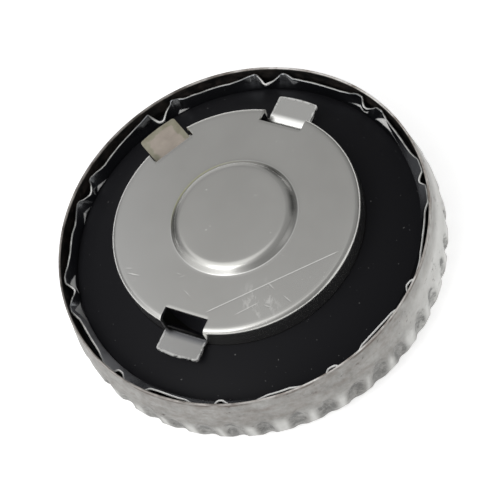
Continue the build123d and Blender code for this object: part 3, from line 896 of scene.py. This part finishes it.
# ---- pleated band -------------------------------------------------------------------------
def band_outline(columns):
    """The band's upper edge at evenly spaced angles: distance inward of the wall, and dip.
    It runs straight between the corners, and a moving average rounds them."""
    angles, insets, dips = np.array(sorted(BAND_EDGE, key=lambda corner: corner[0] % 360.0)).T
    turn = np.arange(columns) * 360.0 / columns
    window = np.hanning(5)
    smooth = []
    for values in (insets, dips):
        even = np.interp(turn, angles % 360.0, values, period=360.0)
        padded = np.concatenate([even[-2:], even, even[:2]])
        smooth.append(np.convolve(padded, window / window.sum(), "valid"))
    return np.radians(turn), *smooth


def degrees_from(turn, angle):
    """Signed degrees from an angle to each turn, between minus and plus 180."""
    return (turn - angle + 180.0) % 360.0 - 180.0


def stretch(turn, middle, reach):
    """One within half the reach of the middle, falling to nothing at the reach, degrees."""
    return np.clip(2 - 2 * np.abs(degrees_from(turn, middle)) / reach, 0, 1)


def counterclockwise(corners):
    """Whether three corners of a triangle, as pairs of numbers, run counterclockwise."""
    (x0, y0), (x1, y1), (x2, y2) = corners
    return (x1 - x0) * (y2 - y0) > (x2 - x0) * (y1 - y0)


def band_highlights_and_marks(turn, rise):
    """Shares of the edge's painted highlight, of the painted highlights called glints, of the
    painted sheen with dirt and of the dull edge. A glint is a triangle: the least of the distances
    to its three sides, in millimetres on the strip."""
    # Painted highlight on the edge: on the stretch about -80 degrees and at each fold.
    bright = stretch(turn, -80.0, 80.0)
    for fold in FOLDS:
        close = np.clip(1.6 - np.abs(degrees_from(turn, fold)) / 1.2, 0, 1)
        bright = np.maximum(bright, close)
    # Painted highlights: triangles beside the folds.
    glint = np.zeros(np.broadcast(turn, rise).shape)
    per_degree, per_rise = BAND_FOOT * pi / 180.0, BAND_TOP - BAND_BASE
    for strength, *corners in GLINTS:
        corners = np.array(corners if counterclockwise(corners) else corners[::-1])
        east = degrees_from(turn, corners[0, 0]) * per_degree
        place = (corners[:, 0] - corners[0, 0]) * per_degree
        inside = np.full(glint.shape, np.inf)
        for first, last in ((0, 1), (1, 2), (2, 0)):
            climb = (corners[last, 1] - corners[first, 1]) * per_rise
            side = np.array([place[last] - place[first], climb])
            side /= np.hypot(*side)
            north = (rise - corners[first, 1]) * per_rise
            away = north * side[0] - (east - place[first]) * side[1]
            inside = np.minimum(inside, away)
        glint = np.maximum(glint, strength * np.clip(0.5 + inside / 0.2, 0, 1))
    dust_and_sheen, dull = np.zeros(turn.shape), np.zeros(turn.shape)
    # Painted sheen with some dirt, on stretches of the strip's face.
    for middle, reach, strength in SHEEN_AND_DUST_STRETCHES:
        dust_and_sheen = np.maximum(dust_and_sheen, strength * stretch(turn, middle, reach))
    for middle, reach in DULL_STRETCHES:
        dull = np.maximum(dull, stretch(turn, middle, reach))
    fields = {"bright": bright, "glint": glint, "dust_and_sheen": dust_and_sheen, "dull": dull}
    return {name: field + 0 * rise for name, field in fields.items()}


def build_band(material, edge_material):
    """A strip that flares from a circle at its foot to the pleated outline at its edge, as a
    power of the share of its height."""
    turn, inset, dip = band_outline(BAND_COLUMNS)
    rise = np.linspace(0, 1, 19)[:, None]
    reach = BAND_FOOT + (WALL_FIT - inset - BAND_FOOT) * rise**BAND_FLARE
    height = BAND_BASE + (BAND_TOP - dip - BAND_BASE) * rise
    points = np.stack([reach * np.cos(turn), reach * np.sin(turn), height], axis=-1)
    quads = grid_faces(len(rise), len(turn))[:, ::-1]
    piece = make_piece(
        "pleated_strip",
        points.reshape(-1, 3),
        quads.tolist(),
        "cap",
        material,
        ("pleated_band",),
        50.0,
    )
    piece.data.materials.append(edge_material)
    for name, field in band_highlights_and_marks(np.degrees(turn), rise).items():
        paint(piece, name, field)
    sheet = piece.modifiers.new("sheet", "SOLIDIFY")
    sheet.thickness = BAND_SHEET * MM
    sheet.offset = 1.0
    sheet.material_offset_rim = 1


# ---- sealing gasket -----------------------------------------------------------------------
def build_gasket(material):
    """A ring whose sealing face bows out of a cone, closed by its ledge, rim and base."""
    slope = GASKET_DROP / (GASKET_SEAT - GASKET_HOLE)
    share = np.linspace(0, 1, 40)
    radius = GASKET_HOLE + GASKET_EDGE + share * (GASKET_SEAT - GASKET_HOLE - GASKET_EDGE)
    straight = SHELL_HEIGHT - slope * (radius - GASKET_HOLE)
    crown = np.column_stack([radius, straight + 4 * GASKET_BULGE * share * (1 - share)])
    low = SHELL_HEIGHT - GASKET_DROP
    base_outer = SHELL_HEIGHT - slope * (WALL_FIT - GASKET_HOLE) - GASKET_THICKNESS
    base_inner = SHELL_HEIGHT - GASKET_THICKNESS
    hole_edge = arc_points(
        (GASKET_HOLE + GASKET_EDGE, crown[0, 1] - GASKET_EDGE), GASKET_EDGE, 180, 90, 7
    )[:-1]
    profile = np.vstack(
        [
            [(GASKET_HOLE, base_inner)],
            hole_edge,
            crown,
            [(WALL_FIT, low), (WALL_FIT, base_outer)],
        ]
    )
    turn = np.linspace(0, 2 * pi, GASKET_COLUMNS, endpoint=False)[None, :]
    points = revolved(profile, turn).reshape(-1, 3)
    faces = grid_faces(len(profile), GASKET_COLUMNS, closed_rows=True)[:, ::-1].tolist()
    make_piece(
        "rubber_gasket", points, faces, "cap", material, ("sealing_gasket",)
    )


def build_spring(material):
    """A coil of round wire. Its line climbs evenly round the axis, and the wire's section is
    a circle square to that line."""
    low, high = (corner[2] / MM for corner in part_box("valve_spring"))
    reach, whole_turn = SPRING_WIRE / 2, 2 * pi * SPRING_TURNS
    climb = (high - low - SPRING_WIRE) / whole_turn
    rings, columns = 260, 14
    turn = np.linspace(0, whole_turn, rings)[:, None]
    level = turn * 0.0
    around = np.linspace(0, 2 * pi, columns, endpoint=False)[None, :]
    cosine, sine = np.cos(turn), np.sin(turn)
    line = (SPRING_RADIUS * cosine, SPRING_RADIUS * sine, low + reach + climb * turn)
    out = (cosine, sine, level)
    length = np.hypot(SPRING_RADIUS, climb)
    up = (climb * sine / length, -climb * cosine / length, level + SPRING_RADIUS / length)
    points = np.stack(
        [
            middle + reach * (np.cos(around) * side + np.sin(around) * rise)
            for middle, side, rise in zip(line, out, up)
        ],
        axis=-1,
    ).reshape(-1, 3)
    faces = grid_faces(rings, columns)[:, ::-1].tolist()
    faces += [list(range(columns)), list(range(len(points) - columns, len(points)))[::-1]]
    piece = make_piece(
        "spring_coil", points, faces, "cap", material, ("valve_spring",), 50.0
    )
    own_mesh(piece)


# ---- stage, lamps and camera --------------------------------------------------------------
FLOOR_GLOW = 0.60
FLOOR_REACH = 3.0
FLOOR_GAP = 0.0001
SOFT_BOXES = (
    # azimuth, elevation, inner and outer radius in degrees, strength
    (173.0, 72.0, 10.0, 33.0, 0.65),
    (-135.0, 50.0, 13.0, 45.0, 0.36),
    (-147.0, 14.0, 15.0, 50.0, 0.60),
    (108.0, 16.0, 8.0, 30.0, 0.34),
    (-20.0, 4.0, 8.0, 28.0, 0.75),
    (-89.0, -5.0, 12.0, 39.0, 0.37),
)


def build_stage():
    """A pale floor. To the camera and to mirror rays it glows on top of the light that falls
    on it, so it shows white and keeps the shadow."""
    mesh = bpy.data.meshes.new("floor")
    reach = FLOOR_REACH
    mesh.from_pydata(
        [(-reach, -reach, 0), (reach, -reach, 0), (reach, reach, 0), (-reach, reach, 0)],
        [],
        [(0, 1, 2, 3)],
    )
    floor = bpy.data.objects.new("floor", mesh)
    floor.location.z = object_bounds()[0][2] - FLOOR_GAP
    bpy.context.scene.collection.objects.link(floor)
    pale = Finish("pale_floor")
    path = pale.node("ShaderNodeLightPath")
    direct = pale.most(path.outputs["Is Camera Ray"], path.outputs["Is Glossy Ray"])
    direct = pale.most(direct, path.outputs["Is Transmission Ray"])
    pale.set(
        base_color=(0.95, 0.95, 0.95, 1.0),
        roughness=0.9,
        emission_color=(1.0, 1.0, 1.0, 1.0),
        emission_strength=pale.times(direct, FLOOR_GLOW),
    )
    mesh.materials.append(pale.material)


def build_world():
    """Studio light: dim at the horizon, an even grey overhead and soft boxes round about. The
    camera itself sees plain white there."""
    world = bpy.data.worlds.new("studio")
    world.use_nodes = True
    bpy.context.scene.world = world
    sky = Nodes(world.node_tree)
    direction = sky.node("ShaderNodeTexCoord").outputs["Generated"]
    level = sky.ramp(sky.split(direction, "Z"), 0.1, 0.9, 0.20, 0.35, "SMOOTHSTEP")
    for azimuth, elevation, inner, outer, strength in SOFT_BOXES:
        azimuth, elevation = radians(azimuth), radians(elevation)
        flat = np.cos(elevation)
        middle = (flat * np.cos(azimuth), flat * np.sin(azimuth), np.sin(elevation))
        towards = sky.vector("DOT_PRODUCT", direction, middle).outputs["Value"]
        edges = np.cos(radians(outer)), np.cos(radians(inner))
        level = sky.math("ADD", level, sky.ramp(towards, *edges, 0.0, strength, "SMOOTHSTEP"))
    seen = sky.most(level, sky.node("ShaderNodeLightPath").outputs["Is Camera Ray"])
    background = sky.tree.nodes["Background"]
    background.inputs["Color"].default_value = (1.0, 1.0, 1.0, 1.0)
    sky.link(seen, background.inputs["Strength"])


def soft_lamp(name, place, aim, size, power):
    """A square area lamp that points from place to aim, both in metres."""
    light = bpy.data.lights.new(name, "AREA")
    light.shape = "SQUARE"
    light.size = size
    light.energy = power
    lamp = bpy.data.objects.new(name, light)
    lamp.location = place
    direction = np.array(aim) - np.array(place)
    lamp.rotation_euler = Vector(direction).to_track_quat("-Z", "Y").to_euler()
    bpy.context.scene.collection.objects.link(lamp)


def build_camera():
    """A long lens looking down at the open side, turned so the axis leans to the left."""
    lens = bpy.data.cameras.new("camera")
    lens.lens = 170.47
    lens.sensor_width = 36.0
    camera = bpy.data.objects.new("camera", lens)
    camera.location = (0.11212, -0.30152, 0.49725)
    camera.rotation_euler = (radians(29.8626), radians(15.6883), radians(-4.7351))
    bpy.context.scene.collection.objects.link(camera)
    bpy.context.scene.camera = camera


build_stage()
build_world()
build_camera()
soft_lamp("left_lamp", (-0.54, -0.64, 0.9), aim=(0, 0, 0.01), size=0.7, power=2.5)

finishes = {
    "shell_steel": shell_finish(),
    "cup_steel": cup_finish(),
    "band_steel": band_finish(),
    "band_edge": band_edge_finish(),
    "gasket_rubber": gasket_finish(),
    "plate_steel": plain_steel("plated_inner_steel", (0.22, 0.22, 0.26), 0.5, 0.3),
    "spring_steel": plain_steel("spring_wire_steel", (0.4, 0.4, 0.4), 0.3),
    "valve_rubber": valve_rubber_finish(),
    "filter_felt": felt_finish(),
}
for part in frame["record"]["subparts"]:
    node = frame["nodes"][part["node"]]
    node.data.materials.clear()
    node.data.materials.append(finishes[part["material_slot"]])

build_shell(finishes["shell_steel"])
build_cup(finishes["cup_steel"])
build_band(finishes["band_steel"], finishes["band_edge"])
build_gasket(finishes["gasket_rubber"])
build_spring(finishes["spring_steel"])

bpy.context.scene.view_settings.view_transform = "Standard"
